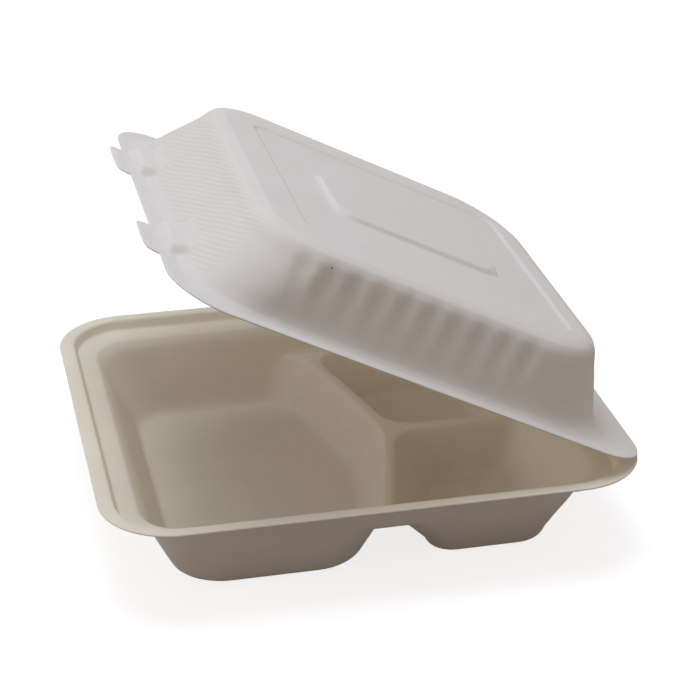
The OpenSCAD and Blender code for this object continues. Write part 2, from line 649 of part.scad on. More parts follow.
// Rings of the embossed top, dz lower for the underside.
field_z = lid_top_z - field_depth;
top_margin = 6;                     // least flat between the shoulder and the field
fitted_field_w = min(field_w, lid_w - 2 * (lid_s[9][0] + top_margin));
fitted_front = min(field_front, -lid_front_y - lid_f[9][0] - top_margin);
fitted_back = min(field_back, lid_back_y - lid_b[9][0] - top_margin);
function top_ring(w, front, back, r, z) =
    ring(w / 2, -front, back, r, z, z, z, [], [], [], top_corner_segs, top_corner_segs);
function emboss_rings(dz) = [
    top_ring(fitted_field_w, fitted_front, fitted_back, field_r, lid_top_z - dz),
    top_ring(fitted_field_w - 2 * emboss_run, fitted_front - emboss_run,
             fitted_back - emboss_run, field_r - emboss_run, field_z - dz),
    top_ring(panel_w, panel_front, panel_back, panel_r, field_z - dz),
    top_ring(panel_w - 2 * emboss_run, panel_front - emboss_run,
             panel_back - emboss_run, panel_r - emboss_run, field_z + panel_h - dz)];

lid_us = underside(lid_s);
lid_uf = underside(lid_f);
lid_ug = underside(lid_g);
lid_ub = underside(lid_b);

lid_patch = loft(concat(
    [for (i = [3:-1:0]) emboss_rings(sheet_t)[i]],
    [for (i = [lid_rows - 1:-1:0]) lid_ring(i, lid_us, lid_uf, lid_ug, lid_ub)],
    [for (i = [0:lid_rows - 1]) lid_ring(i, lid_s, lid_f, lid_g, lid_b)],
    emboss_rings(0)), lid_rows + 3, first = true, last = true);

module lid() {
    color(lid_colour)
        translate([0, fold_y, axis_z]) rotate([-lid_open, 0, 0])
            translate([0, -fold_y, fold_gap / 2]) solid(lid_patch);
}

tray();
lid();
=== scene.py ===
"""Looks of a hinged food container of moulded plant fibre, standing open on a pale floor."""

import logging
import math
from dataclasses import dataclass, field
from enum import Enum
from typing import Callable, Dict, List, Sequence, Tuple

import bpy
import numpy as np
from mathutils import Matrix, Vector

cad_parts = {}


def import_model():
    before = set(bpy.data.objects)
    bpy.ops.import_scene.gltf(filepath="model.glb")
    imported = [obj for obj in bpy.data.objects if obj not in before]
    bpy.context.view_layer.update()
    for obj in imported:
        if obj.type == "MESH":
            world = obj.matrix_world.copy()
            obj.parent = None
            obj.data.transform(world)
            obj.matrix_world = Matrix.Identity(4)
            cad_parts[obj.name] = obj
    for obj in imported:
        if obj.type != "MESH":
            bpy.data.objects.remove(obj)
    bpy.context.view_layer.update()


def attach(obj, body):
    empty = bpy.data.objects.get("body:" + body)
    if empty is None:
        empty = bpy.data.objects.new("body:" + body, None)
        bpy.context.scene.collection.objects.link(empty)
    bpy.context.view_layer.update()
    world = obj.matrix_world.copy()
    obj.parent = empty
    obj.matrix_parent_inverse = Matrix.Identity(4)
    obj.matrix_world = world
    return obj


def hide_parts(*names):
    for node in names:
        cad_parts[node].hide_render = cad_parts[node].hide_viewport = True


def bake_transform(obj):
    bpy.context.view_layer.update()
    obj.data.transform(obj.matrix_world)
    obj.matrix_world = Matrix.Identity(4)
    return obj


log = logging.getLogger("fibre_container")

MM = 0.001
Array = np.ndarray
Colour = Tuple[float, float, float]


class Skin(Enum):
    """The two faces of the moulded sheet and the lower half of its edge."""

    UPPER = 0
    LOWER = 1
    EDGE = 2


# Plan forms


def rounded(a: Array, b: Array, r: Array) -> Array:
    """Distance to a corner of radius r between two straight sides.

    Args:
        a: Distances beyond the first side, negative inside.
        b: Distances beyond the second side, negative inside.
        r: Corner radius.

    Returns:
        The signed distance to the rounded corner, negative inside.
    """
    u, v = a + r, b + r
    return np.minimum(np.maximum(u, v), 0.0) + np.hypot(np.maximum(u, 0), np.maximum(v, 0)) - r


def level_of(distance: Callable[[Array], Array], top: float, shape: Sequence[int]) -> Array:
    """Finds the row of a nest of outlines that passes through each point.

    Args:
        distance: Gives the points' signed distances from the outline of a row.
        top: Number of the innermost row.
        shape: Shape of the arrays of points.

    Returns:
        The row of each point, with top for the points inside the last outline.
    """
    low, high = np.zeros(shape), np.full(shape, top)
    for _ in range(26):
        mid = (low + high) / 2
        inside = distance(mid) <= 0
        low, high = np.where(inside, mid, low), np.where(inside, high, mid)
    return low


def row_value(v: Array, values: Sequence[float]) -> Array:
    """Value at the rows v of a list that has one value for each row."""
    return np.interp(v, np.arange(len(values)), values)


def smooth(t: Array) -> Array:
    """Soft step from 0 to 1 over t from 0 to 1."""
    t = np.clip(t, 0, 1)
    return t * t * (3 - 2 * t)


def lines(marks: Sequence[Tuple[float, float]], last: float) -> List[float]:
    """Grid lines between marks.

    Args:
        marks: Pairs of a place and the spacing of the lines from there on.
        last: Place of the last line.

    Returns:
        The places of all lines, rising.
    """
    out: List[float] = []
    ends = [m[0] for m in marks[1:]] + [last]
    for (start, step), end in zip(marks, ends):
        n = max(1, int(round((end - start) / step)))
        out += [start + (end - start) * i / n for i in range(n)]
    return out + [last]


# Meshes


@dataclass
class SheetMesh:
    """A sheet of even thickness laid on a grid of points.

    Attributes:
        name: Name of the mesh's object.
        points: Grid of points of the upper face, in millimetres.
        maps: Grids of two coordinates that the finishes read, by name.
        thickness: Thickness of the sheet.
    """

    name: str
    points: Array
    maps: Dict[str, Array]
    thickness: float

    def normals(self) -> Array:
        """Unit normals of the upper face at the grid's points.

        Returns:
            A grid of unit vectors, one for each point.
        """
        du = np.gradient(self.points, axis=1)
        dv = np.gradient(self.points, axis=0)
        n = np.cross(du, dv)
        return n / np.linalg.norm(n, axis=2, keepdims=True)

    def border(self) -> List[Tuple[int, int]]:
        """Grid places round the border, against the clock seen from above.

        Returns:
            Pairs of row and column, each place once.
        """
        rows, cols = self.points.shape[:2]
        return ([(0, i) for i in range(cols - 1)] + [(j, cols - 1) for j in range(rows - 1)]
                + [(rows - 1, i) for i in range(cols - 1, 0, -1)]
                + [(j, 0) for j in range(rows - 1, 0, -1)])

    def build(self, place: Matrix) -> bpy.types.Object:
        """Makes the object with both faces and a rounded edge.

        Args:
            place: Matrix from the sheet's own frame to the row frame, in metres.

        Returns:
            The new object, whose polygons carry the skin they belong to.
        """
        rows, cols = self.points.shape[:2]
        n = self.normals()
        top = self.points.reshape(-1, 3)
        bottom = (self.points - n * self.thickness).reshape(-1, 3)
        ring = [j * cols + i for j, i in self.border()]
        count = rows * cols
        rim = top[ring]
        ahead, behind = np.roll(rim, -1, 0), np.roll(rim, 1, 0)
        out = np.cross(ahead - behind, (0.0, 0.0, 1.0))
        out /= np.linalg.norm(out, axis=1, keepdims=True)
        up = n.reshape(-1, 3)[ring]
        middle = (top[ring] + bottom[ring]) / 2
        half = self.thickness / 2
        arcs = [middle + half * (math.cos(a) * up + math.sin(a) * out)
                for a in (math.radians(d) for d in (40, 90, 140))]
        verts = np.concatenate([top, bottom] + arcs)

        j, i = np.mgrid[0:rows - 1, 0:cols - 1]
        a = (j * cols + i).ravel()
        quads_up = np.stack([a, a + 1, a + cols + 1, a + cols], 1)
        quads_down = quads_up[:, ::-1] + count
        k = len(ring)
        loops = [np.array(ring)] + [2 * count + s * k + np.arange(k) for s in range(3)]
        loops.append(np.array(ring) + count)
        edge = [np.stack([lo, np.roll(lo, -1), np.roll(hi, -1), hi], 1)[:, ::-1]
                for lo, hi in zip(loops[:-1], loops[1:])]
        edges = np.concatenate(edge)
        faces = np.concatenate([quads_up, quads_down, edges])
        bands = [Skin.UPPER.value, Skin.UPPER.value, Skin.EDGE.value, Skin.EDGE.value]
        kinds = np.concatenate([np.full(len(quads_up), Skin.UPPER.value),
                                np.full(len(quads_down), Skin.LOWER.value),
                                np.repeat(bands, k)])

        mesh = bpy.data.meshes.new(self.name)
        mesh.vertices.add(len(verts))
        mesh.vertices.foreach_set("co", (verts * MM).ravel())
        mesh.loops.add(faces.size)
        mesh.loops.foreach_set("vertex_index", faces.ravel().astype(np.int32))
        mesh.polygons.add(len(faces))
        mesh.polygons.foreach_set("loop_start", np.arange(0, faces.size, 4, dtype=np.int32))
        mesh.polygons.foreach_set("material_index", kinds.astype(np.int32))
        mesh.update(calc_edges=True)
        for label, grid in self.maps.items():
            flat = grid.reshape(-1, 2)
            uv = np.concatenate([flat, flat] + [flat[ring]] * 3)
            layer = mesh.uv_layers.new(name=label)
            layer.data.foreach_set("uv", uv[faces.ravel()].ravel())
        mesh.validate()
        mesh.transform(place)
        mesh.shade_smooth()
        obj = bpy.data.objects.new(self.name, mesh)
        bpy.context.scene.collection.objects.link(obj)
        return obj


def corner_grid(xs: Sequence[float], ys: Sequence[float], half: float, front: float,
                back: float, radius: float) -> Tuple[Array, Array]:
    """Bends a square grid so that its outer lines follow rounded corners.

    Args:
        xs: Places of the lines across.
        ys: Places of the lines along.
        half: Half width of the outline.
        front: Place of the outline's front.
        back: Place of the outline's back.
        radius: Corner radius of the outline.

    Returns:
        The x and y coordinates of the grid's points.
    """
    x, y = np.meshgrid(np.array(xs), np.array(ys))
    side = np.where(y < (front + back) / 2, -1.0, 1.0)
    cy = np.where(side < 0, front + radius, back - radius)
    u, v = np.abs(x) - (half - radius), side * (y - cy)
    inside = (u > 0) & (v > 0)
    rho = np.maximum(u, v)
    small = np.minimum(u, v) / np.where(inside, rho, 1.0)
    angle = np.where(u >= v, small, 2 - small) * math.pi / 4
    nu, nv = rho * np.cos(angle), rho * np.sin(angle)
    x = np.where(inside, np.sign(x) * (half - radius + nu), x)
    y = np.where(inside, cy + side * nv, y)
    return x, y


# Tray


@dataclass
class Tray:
    """The tray with its rim, ledge, compartments and dividers, in millimetres."""

    sheet: float = 0.9
    half: float = 115.0
    front: float = -125.0
    back: float = 124.9
    height: float = 46.5
    corner: float = 34.0
    rims: Tuple[float, float, float] = (6.0, 7.2, 9.5)
    drop: float = 5.0
    drop_run: float = 2.0
    ledge: float = 9.0
    ledge_fall: float = 1.8
    ledge_round: float = 4.0
    well_corner: float = 19.0
    divider: float = 25.0
    divider_w: float = 5.0
    stem_w: float = 7.0
    divider_y: float = 23.3
    rake: float = 15.0
    bend: float = 12.0
    large_corner: float = 13.0
    small_corner: float = 18.0
    junction: float = 14.0
    stem_end: float = 8.0
    drafts: Dict[str, float] = field(default_factory=lambda: {
        "side": 17.0, "front": 23.0, "back": 26.0, "large_face": 26.0,
        "small_face": 38.0, "small_side": 26.0, "stem": 24.0})
    floor_rise: float = 5.0
    floor_run: float = 6.0
    flutes: int = 12
    flute_pitch: float = 12.0
    flute_depth: float = 1.2

    def __post_init__(self) -> None:
        """Works out the rows of the rim and wall for each side."""
        self.k = {n: math.tan(math.radians(a)) for n, a in self.drafts.items()}
        self.side_rows = self.rim_rows(self.rims[0], self.k["side"])
        self.front_rows = self.rim_rows(self.rims[1], self.k["front"])
        self.back_rows = self.rim_rows(self.rims[2], self.k["back"])
        self.levels = self.rim_levels()
        self.radii = [self.corner, self.corner - 6, 24.5, 21, 19] + [self.well_corner] * 3

    def rim_levels(self) -> List[float]:
        """Heights of the rows from the rim down to the dividers' tops.

        Returns:
            One height for each row.
        """
        h, d, f = self.height, self.drop, self.ledge_fall
        low = h - d - f - self.ledge_round
        return [h, h, h - d, h - d - f * 0.35, h - d - f, low, (low + self.divider) / 2,
                self.divider]

    def rim_rows(self, w: float, k: float) -> List[float]:
        """Insets of the rows for a rim w wide and a wall of slope k.

        Args:
            w: Width of the flat rim.
            k: Inset of the wall for each millimetre of depth.

        Returns:
            One inset from the outline for each row.
        """
        a = w + self.drop_run
        b = a + self.ledge
        c = b + self.ledge_round * 0.7
        low = self.height - self.drop - self.ledge_fall - self.ledge_round
        e = k * (low - self.divider)
        return [0, w, a, a + (b - a) * 0.6, b, c, c + e / 2, c + e]

    def flute(self, x: Array) -> Array:
        """Depth of the front wall's flutes at x.

        Args:
            x: Places across, in millimetres.

        Returns:
            How far the wall stands in, 0 between the flutes.
        """
        reach = self.flutes * self.flute_pitch / 2
        wave = (1 - np.cos(2 * np.pi * (x + reach) / self.flute_pitch)) / 2
        return self.flute_depth * wave * (np.abs(x) < reach)

    def well_distance(self, x: Array, y: Array, v: Array) -> Array:
        """Signed distance from the rim's outline of row v.

        Args:
            x: Places across, in millimetres.
            y: Places along, in millimetres.
            v: Rows of the points.

        Returns:
            The distances, negative inside.
        """
        a = np.abs(x) - (self.half - row_value(v, self.side_rows))
        fluted = self.flute(x) * row_value(v, [0, 0, 0, 0, 0, 0.1, 1, 1])
        b = np.maximum(y - (self.back - row_value(v, self.back_rows)),
                       self.front + row_value(v, self.front_rows) + fluted - y)
        return rounded(a, b, row_value(v, self.radii))

    def pocket_rows(self, k: float) -> List[float]:
        """Insets of a compartment's rows for a wall of slope k.

        Args:
            k: Inset of the wall for each millimetre of depth.

        Returns:
            One inset for each row, down to the flat floor.
        """
        e = k * (self.divider - self.sheet - self.floor_rise)
        r = self.floor_run
        return [0, e / 2, e, e + r * 0.12, e + r * 0.3, e + r * 0.58, e + r]

    def pocket_levels(self) -> List[float]:
        """Heights of a compartment's rows from the dividers' tops down.

        Returns:
            One height for each row.
        """
        f, r = self.sheet, self.floor_rise
        return [self.divider, (self.divider + f + r) / 2, f + r, f + r * 0.6, f + r * 0.28,
                f + r * 0.07, f]

    def divider_edge(self, x: Array) -> Array:
        """Front edge of the cross divider's top at x."""
        bow = self.bend - np.sqrt(x * x + self.bend ** 2)
        return self.divider_y + math.tan(math.radians(self.rake)) * bow

    def large_distance(self, x: Array, y: Array, w: Array) -> Array:
        """Signed distance from the large compartment's outline of row w.

        Args:
            x: Places across, in millimetres.
            y: Places along, in millimetres.
            w: Rows of the points.

        Returns:
            The distances, negative inside.
        """
        k, fit = self.k, math.cos(math.radians(self.rake))
        a = np.abs(x) - (self.half - self.side_rows[7] - row_value(w, self.pocket_rows(k["side"])))
        fluted = self.flute(x) * row_value(w, [1, 1, 1, 0.7, 0.4, 0.1, 0])
        b = (self.front + self.front_rows[7] + row_value(w, self.pocket_rows(k["front"]))
             + fluted - y)
        c = (y - self.divider_edge(x)) * fit + row_value(w, self.pocket_rows(k["large_face"]))
        grow = row_value(w, [0, 1, 2, 3, 3.5, 4, 4])
        return np.maximum(rounded(a, b, self.well_corner + grow),
                          rounded(a, c, self.large_corner + grow))

    def small_distance(self, x: Array, y: Array, w: Array) -> Array:
        """Signed distance from a small compartment's outline of row w.

        Args:
            x: Places across, in millimetres.
            y: Places along, in millimetres.
            w: Rows of the points.

        Returns:
            The distances, negative inside.
        """
        k, fit = self.k, math.cos(math.radians(self.rake))
        x = np.abs(x)
        wall = x - (self.half - self.side_rows[7]
                    - row_value(w, self.pocket_rows(k["small_side"])))
        stem = self.stem_w / 2 + row_value(w, self.pocket_rows(k["stem"])) - x
        back = y - (self.back - self.back_rows[7] - row_value(w, self.pocket_rows(k["back"])))
        face = ((self.divider_edge(x) + self.divider_w - y) * fit
                + row_value(w, self.pocket_rows(k["small_face"])))
        r = row_value(w, [1, 0.95, 0.85, 0.8, 0.75, 0.7, 0.6])
        return np.maximum.reduce([rounded(wall, back, self.well_corner * r),
                                  rounded(wall, face, self.small_corner * r),
                                  rounded(stem, face, self.junction * r),
                                  rounded(stem, back, self.stem_end + 2 * (1 - r))])

    def surface(self, x: Array, y: Array) -> Array:
        """Height of the tray's upper face over the points x, y.

        Args:
            x: Places across, in millimetres.
            y: Places along, in millimetres.

        Returns:
            The heights in millimetres.
        """
        v = level_of(lambda r: self.well_distance(x, y, r), 7.0, x.shape)
        z = row_value(v, self.levels)
        inner = v > 6.999
        levels = self.pocket_levels()
        for distance in (self.large_distance, self.small_distance):
            w = level_of(lambda r: distance(x, y, r), 6.0, x.shape)
            z = np.where(inner, np.minimum(z, row_value(w, levels)), z)
        return z

    def grid(self) -> Tuple[Array, Array]:
        """The x and y places of the grid that the sheet is laid on.

        Returns:
            The grid of x and the grid of y.
        """
        t = self.sheet / 2
        right = lines([(0, 1.25), (24, 1.7), (72, 1.1), (89, 0.9), (98.5, 1.2), (106.4, 0.45),
                       (109.6, 1.6)], self.half - t)
        xs = [-v for v in right[:0:-1]] + right
        ys = lines([(self.front + t, 1.8), (-118.4, 0.45), (-115.2, 1.2), (-107.5, 0.9),
                    (-98, 1.1), (-80, 2.6), (-20, 1.15), (44, 2.2), (74, 1.1), (98, 0.9),
                    (105.5, 1.2), (112.9, 0.45), (116.1, 1.8)], self.back - t)
        return corner_grid(xs, ys, self.half - t, self.front + t, self.back - t, self.corner - t)

    def build(self) -> bpy.types.Object:
        """Makes the tray's object.

        Returns:
            The new object.
        """
        x, y = self.grid()
        spread = 0.55
        z = sum(self.surface(x + dx, y + dy) for dx, dy in
                ((0, 0), (spread, 0), (-spread, 0), (0, spread), (0, -spread))) / 5
        points = np.stack([x, y, z], 2)
        maps = {"weave": np.stack([x * MM, (y + z) * MM], 2),
                "press": np.zeros(x.shape + (2,))}
        return SheetMesh("tray_sheet", points, maps, self.sheet).build(Matrix.Identity(4))


# Lid


@dataclass
class Lid:
    """The domed lid with its tabs, bosses, flutes and embossed top, in millimetres."""

    sheet: float = 0.9
    half: float = 107.75
    front: float = -116.8
    back: float = 124.9
    height: float = 36.7
    corner: float = 27.5
    front_corner: float = 34.0
    back_corner: float = 39.0
    rims: Tuple[float, float, float] = (5.0, 8.0, 17.0)
    sweeps: Tuple[float, float, float] = (3.8, 6.0, 6.0)
    insets: Tuple[float, float, float] = (13.0, 28.5, 31.5)
    sweep_h: float = 5.0
    shoulder_h: float = 8.0
    shoulder_w: float = 9.0
    flutes: int = 10
    flute_end: float = 54.0
    flute_pitch: float = 12.7
    flute_depth: float = 1.3
    field_depth: float = 1.2
    field_box: Tuple[float, float, float, float] = (69.0, -62.0, 75.0, 7.0)
    panel_rise: float = 2.2
    panel_box: Tuple[float, float, float, float] = (27.0, -38.0, 50.0, 11.0)
    emboss_run: float = 2.0
    tab_x: float = 48.0
    tab_half: float = 16.0
    tab_reach: float = 7.0
    boss_h: float = 4.2
    boss_w: float = 27.0
    open_deg: float = 27.0
    fold: Tuple[float, float] = (125.0, 46.65)
    lift: float = 0.15

    def __post_init__(self) -> None:
        """Works out the rows of the wall for each side."""
        self.side_rows, self.front_rows, self.back_rows = (
            self.wall_rows(w, v, d) for w, v, d in zip(self.rims, self.sweeps, self.insets))
        t, s, f = self.sheet, self.height - self.shoulder_h, self.sheet + self.sweep_h
        self.levels = [t, t + self.sweep_h * 0.05, t + self.sweep_h * 0.4, f,
                       f + (s - f) * 0.34, f + (s - f) * 0.68, f + (s - f) * 0.93,
                       s + self.shoulder_h * 0.4, s + self.shoulder_h * 0.8, self.height]
        self.front_radii = self.corner_radii(
            self.front_corner, (0, 0.03, 0.1, 0.2, 0.4, 0.75, 1, 1))
        self.back_radii = self.corner_radii(
            self.back_corner, (0, 0.03, 0.17, 0.38, 0.59, 0.79, 1, 1))

    def corner_radii(self, r: float, share: Sequence[float]) -> List[float]:
        """Radii of the rows of a corner that turns from the rim's radius to r."""
        w = self.shoulder_w
        return [self.corner + (r - self.corner) * s for s in share] + [r - w / 3, r - w]

    def wall_rows(self, w: float, v: float, d: float) -> List[float]:
        """Insets of the rows for a rim w, a sweep v and a shoulder at d.

        Args:
            w: Width of the flat rim.
            v: Width of the sweep from the rim into the wall.
            d: Inset at which the shoulder starts.

        Returns:
            One inset from the outline for each row.
        """
        a, s = w + v, self.shoulder_w
        return [0, w, w + v * 0.68, a, a + (d - a) * 0.34, a + (d - a) * 0.68,
                a + (d - a) * 0.93, d + s * 0.12, d + s * 0.42, d + s]

    def run(self, x: Array, y: Array, v: Array) -> Tuple[Array, Array]:
        """Distance along the wall, from the side round the front corner to the front.

        Args:
            x: Places across the lid.
            y: Places along the lid.
            v: Rows of the points.

        Returns:
            The distance, which falls from the back to the front as y does on the
            sides, and the share of the corner passed, 0 on the side and 1 on the front.
        """
        r = row_value(v, self.front_radii)
        cx = self.half - row_value(v, self.side_rows) - r
        cy = self.front + row_value(v, self.front_rows) + r
        turn = np.arctan2(np.maximum(cy - y, 0), np.maximum(np.abs(x) - cx, 1e-3))
        s = np.maximum(y, cy) - turn * r - np.maximum(cx - np.abs(x), 0) * (turn > 1.5)
        return s, turn / (math.pi / 2)

    def flute(self, x: Array, y: Array, v: Array) -> Array:
        """Depth of the side walls' flutes at x, y on row v.

        Args:
            x: Places across, in millimetres.
            y: Places along, in millimetres.
            v: Rows of the points.

        Returns:
            How far the wall stands in, 0 between the flutes.
        """
        s, _ = self.run(x, y, v)
        count = (self.flute_end - s) / self.flute_pitch
        wave = (1 - np.cos(2 * np.pi * count)) / 2 * ((count > 0) & (count < self.flutes))
        return self.flute_depth * wave * row_value(v, [0, 0, 0, 0, 0.25, 0.8, 1, 0.5, 0, 0])

    def distance(self, x: Array, y: Array, v: Array) -> Array:
        """Signed distance from the lid's outline of row v.

        Args:
            x: Places across, in millimetres.
            y: Places along, in millimetres.
            v: Rows of the points.

        Returns:
            The distances, negative inside.
        """
        a = np.abs(x) - (self.half - row_value(v, self.side_rows))
        b = np.maximum(y - (self.back - row_value(v, self.back_rows)),
                       self.front + row_value(v, self.front_rows) - y)
        r = np.where(y < 0, row_value(v, self.front_radii), row_value(v, self.back_radii))
        return rounded(a, b, r) + self.flute(x, y, v)

    def box_distance(self, x: Array, y: Array, box: Tuple[float, float, float, float]) -> Array:
        """Signed distance from a rounded box given as half width, front, back, radius."""
        hx, y0, y1, r = box
        return rounded(np.abs(x) - hx, np.maximum(y - y1, y0 - y), np.full(x.shape, r))

    def tab(self, x: Array) -> Array:
        """Reach of the tabs beyond the front rim at x.

        Args:
            x: Places across, in millimetres.

        Returns:
            The reach, 0 beside the tabs.
        """
        h = self.tab_half
        end = self.boss_w - h
        at = [-h - 0.4, -h, -h + 0.6, -h / 2, h / 4, end - 1.8, end + 2.2, h - 1, h - 0.3]
        reach = [0, 0.92, 0.94, 1, 0.97, 0.92, 0.8, 0.42, 0]
        return self.tab_reach * sum(np.interp(x - c, at, reach, 0, 0)
                                    for c in (-self.tab_x, self.tab_x))

    def boss(self, x: Array) -> Array:
        """Share of the bosses at x.

        Args:
            x: Places across, in millimetres.

        Returns:
            1 on the bosses, falling to 0 beside them.
        """
        h = self.tab_half
        return sum(smooth((x - c + h + 3.2) / 3.6) * smooth((c + self.boss_w - h + 2 - x) / 3.8)
                   for c in (-self.tab_x, self.tab_x))

    def boss_surface(self, y: Array) -> Array:
        """Height of a boss over the points y.

        Args:
            y: Places along, in millimetres.

        Returns:
            The heights in millimetres.
        """
        a = self.rims[1] * 0.4
        b = a + self.boss_h * 0.5
        d4, t = self.front_rows[4], self.sheet
        at = [a, a + 0.5, b - 0.4, b + 0.6, b + (d4 - b) * 0.6, d4, self.front_rows[6]]
        rise = [t, t + 0.5, t + self.boss_h * 0.86, t + self.boss_h, t + self.boss_h * 1.3,
                self.levels[4], self.levels[6]]
        return np.interp(y - self.front, at, rise)

    def surface(self, x: Array, y: Array) -> Array:
        """Height of the lid's upper face over the points x, y.

        Args:
            x: Places across, in millimetres.
            y: Places along, in millimetres.

        Returns:
            The heights above the lid's rim plane, in millimetres.
        """
        v = level_of(lambda r: self.distance(x, y, r), 9.0, x.shape)
        z = row_value(v, self.levels)
        share = self.boss(x) * (y < self.front + self.front_rows[6])
        z = z + share * np.maximum(self.boss_surface(y) - z, 0)
        run = self.emboss_run
        sunk = smooth(0.5 - self.box_distance(x, y, self.field_box) / run)
        raised = smooth(0.5 - self.box_distance(x, y, self.panel_box) / run)
        return z - self.field_depth * sunk + self.panel_rise * raised

    def grid(self) -> Tuple[Array, Array]:
        """The x and y places of the grid that the sheet is laid on.

        Returns:
            The grid of x and the grid of y.
        """
        t = self.sheet / 2
        right = lines([(0, 3.0), (25, 0.6), (29, 3.2), (66.5, 0.6), (71, 2.0), (82, 0.9),
                       (92.5, 0.4), (98.9, 0.55), (103, 1.4)], self.half - t)
        tabs = [c + s for c in (-self.tab_x, self.tab_x) for s in
                (-19, -18, -17, -16.4, -16, -15.4, -14,
                 9.2, 11, 12, 13.2, 14.1, 15, 15.7, 16.2, 17)]
        xs = sorted(set([-v for v in right[:0:-1]] + right))
        xs = sorted([v for v in xs if min(abs(v - s) for s in tabs) > 0.35] + tabs)
        ys = lines([(self.front + t, 0.8), (-112, 0.5), (-109.5, 0.8), (-86, 0.9), (-76, 1.6),
                    (-64, 0.6), (-60, 1.7), (-40, 0.6), (-36, 1.7), (48, 0.6), (52, 1.7),
                    (73, 0.6), (77, 1.0), (84, 0.9), (92, 0.55), (104, 1.0), (109, 2.6)],
                   self.back - t)
        return corner_grid(xs, ys, self.half - t, self.front + t, self.back - t, self.corner - t)

    def place(self) -> Matrix:
        """Matrix from the shut lid's frame to the open lid, in metres.

        Returns:
            The matrix.
        """
        y, z = self.fold[0] * MM, self.fold[1] * MM
        shift = Matrix.Translation((0, -self.fold[0] * MM, self.lift * MM))
        turn = Matrix.Rotation(-math.radians(self.open_deg), 4, "X")
        return Matrix.Translation((0, y, z)) @ turn @ shift

    def maps(self, x: Array, y: Array) -> Dict[str, Array]:
        """Coordinates for the marks of the forming screen.

        Args:
            x: Places across the lid.
            y: Places along the lid.

        Returns:
            Under weave the distances along and up the wall in metres, and under press
            how deep the marks are and the share of the way to the front wall.
        """
        v = level_of(lambda r: self.distance(x, y, r), 9.0, x.shape)
        s, turn = self.run(x, y, v)
        r = row_value(v, self.front_radii)
        centre = (self.front + row_value(v, self.front_rows) + r * (1 - math.pi / 2)
                  - (self.half - row_value(v, self.side_rows) - r))
        s = np.where(x < 0, 2 * centre - s, s)
        steps = np.hypot(np.diff(self.side_rows), np.diff(self.levels))
        up = row_value(v, np.concatenate([[0.0], np.cumsum(steps)]))
        up = np.where(v > 8.999, up + np.maximum(-self.distance(x, y, v), 0), up)
        depth = row_value(v, [0, 0, 0.35, 1, 1, 1, 1, 0.9, 0.5, 0.08])
        depth = depth * (1 - 0.85 * np.clip(self.boss(x) * (y < self.front + 17), 0, 1))
        depth = depth * (1 - 0.45 * np.sin(np.pi * np.clip(turn, 0, 1)) ** 2)
        depth = depth * (1 - smooth((y - 70) / 25))
        return {"weave": np.stack([s, up], 2) * MM, "press": np.stack([depth, turn], 2)}

    def build(self) -> bpy.types.Object:
        """Makes the lid's object in its open place.

        Returns:
            The new object.
        """
        x, y = self.grid()
        spread = 0.45
        z = sum(self.surface(x + dx, y + dy) for dx, dy in
                ((0, 0), (spread, 0), (-spread, 0), (0, spread), (0, -spread))) / 5
        maps = self.maps(x, y)
        depth = y - (self.front + self.sheet / 2)
        y = y - self.tab(x) * np.clip(1 - depth / 3.0, 0, 1)
        points = np.stack([x, y, z], 2)
        return SheetMesh("lid_sheet", points, maps, self.sheet).build(self.place())


# Fold


@dataclass
class Fold:
    """The bend of the sheet that joins the tray's rim to the lid's, in millimetres.

    Attributes:
        reach: Half length of the bend along the fold.
        thick: Thickness of the band.
        place: The fold's y and z.
        open_deg: How far the lid is open.
        root: How far the band reaches into both rims.
        level: Height of the rims' middles above and below the fold.
        bulge: How far the band's guide point stands out behind the fold.
        steps: Stretches across the bend.
        bars: Sections along the bend.
    """

    reach: float = 78.5
    thick: float = 0.56
    place: Tuple[float, float] = (125.0, 46.65)
    open_deg: float = 27.0
    root: float = 0.55
    level: float = 0.6
    bulge: float = 0.55
    steps: int = 10
    bars: int = 40

    def path(self) -> Array:
        """Middle line of the bend across the fold, from the tray's edge to the lid's.

        Returns:
            The y and z places of its points, in millimetres.
        """
        a = math.radians(self.open_deg)
        turn = np.array([[math.cos(a), math.sin(a)], [-math.sin(a), math.cos(a)]])
        foot = np.array([-self.root, -self.level])
        head = turn @ np.array([-self.root, self.level])
        knee = self.bulge * np.array([math.cos(a / 2), -math.sin(a / 2)])
        t = np.linspace(0, 1, self.steps + 1)[:, None]
        bow = (1 - t) ** 2 * foot + 2 * t * (1 - t) * knee + t ** 2 * head
        return bow + np.array(self.place)

    def build(self) -> bpy.types.Object:
        """Makes the bend's object, a thin closed band along the fold.

        Returns:
            The new object, with no parent.
        """
        mid = self.path()
        along = np.gradient(mid, axis=0)
        along /= np.linalg.norm(along, axis=1, keepdims=True)
        out = np.stack([along[:, 1], -along[:, 0]], 1) * self.thick / 2
        loop = np.concatenate([mid + out, (mid - out)[::-1]])
        xs = np.linspace(-self.reach, self.reach, self.bars)
        verts = [(x, y, z) for x in xs for y, z in loop]
        k = len(loop)
        faces = [(i * k + j, i * k + (j + 1) % k, (i + 1) * k + (j + 1) % k, (i + 1) * k + j)
                 for i in range(len(xs) - 1) for j in range(k)]
        faces += [tuple(range(k))[::-1], tuple((len(xs) - 1) * k + j for j in range(k))]
        mesh = bpy.data.meshes.new("fold_strip")
        mesh.from_pydata([tuple(c * MM for c in v) for v in verts], [], faces)
        mesh.validate()
        mesh.shade_smooth()
        obj = bpy.data.objects.new("fold_strip", mesh)
        bpy.context.scene.collection.objects.link(obj)
        return obj

    def ends(self) -> Tuple[Tuple[float, float, float], Tuple[float, float, float]]:
        """Points in the row frame near the two ends of the bend, by the tray's rim and by the
        lid's.
        """
        mid = self.path() * MM
        return (0.0, *mid[1]), (0.0, *mid[-2])


# Finish


